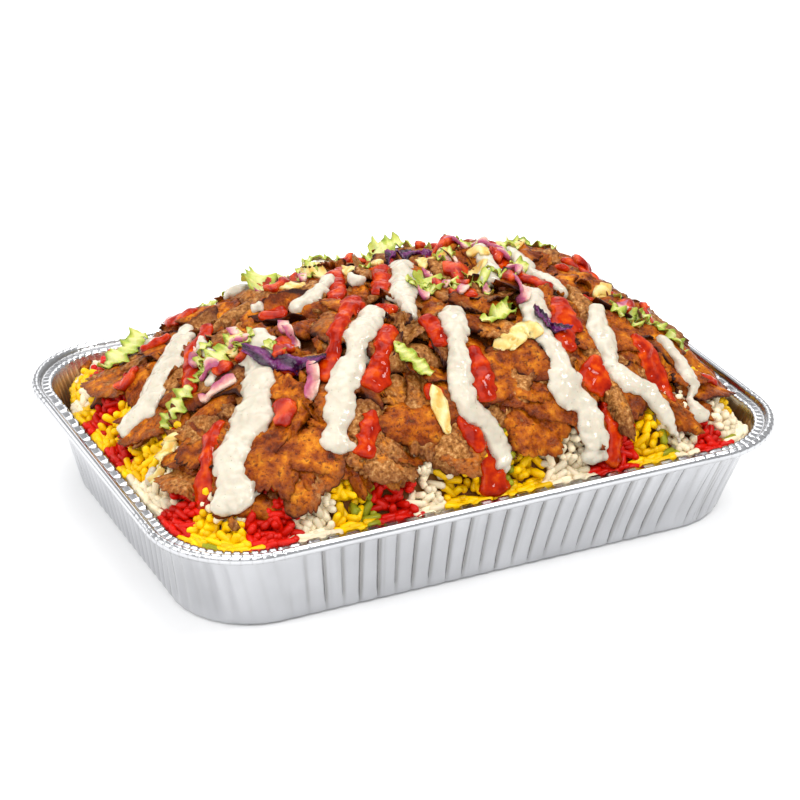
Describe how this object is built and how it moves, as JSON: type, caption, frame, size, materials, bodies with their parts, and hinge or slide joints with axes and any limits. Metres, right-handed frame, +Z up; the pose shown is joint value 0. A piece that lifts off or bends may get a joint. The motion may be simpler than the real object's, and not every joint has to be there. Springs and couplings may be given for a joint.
{
  "type": "foil tray meal",
  "caption": "Fluted foil catering tray heaped with coloured rice, sliced grilled meat, white and red drizzled sauces and shredded salad.",
  "frame": {"origin": "middle of the tray's base, on the surface it stands on", "axes": "+X along the tray's long side, +Z up, -Y the front"},
  "size_m": [0.32, 0.246, 0.1334],
  "materials": {
    "foil": "bright pressed foil",
    "rice": "steamed long grain, moist",
    "meat": "grilled, browned edges, oily",
    "white_sauce": "thick, glossy, herb flecks",
    "red_sauce": "thin, wet, glossy",
    "lettuce": "crisp leaf",
    "cabbage": "waxy shred",
    "onion": "moist, translucent",
    "tomato": "wet cut flesh"
  },
  "bodies": {
    "root": {"tray": "foil", "rice_bed": "rice", "meat_heap": "meat", "lettuce_1": "lettuce", "lettuce_2": "lettuce", "lettuce_3": "lettuce", "lettuce_4": "lettuce", "lettuce_5": "lettuce", "lettuce_6": "lettuce", "lettuce_7": "lettuce", "lettuce_8": "lettuce", "lettuce_9": "lettuce", "lettuce_10": "lettuce", "lettuce_11": "lettuce", "lettuce_12": "lettuce", "lettuce_13": "lettuce", "cabbage_1": "cabbage", "cabbage_2": "cabbage", "cabbage_3": "cabbage", "cabbage_4": "cabbage", "onion_1": "onion", "onion_2": "onion", "onion_3": "onion", "onion_4": "onion", "tomato_1": "tomato", "tomato_2": "tomato", "tomato_3": "tomato", "tomato_4": "tomato", "tomato_5": "tomato"}
  },
  "joints": []
}
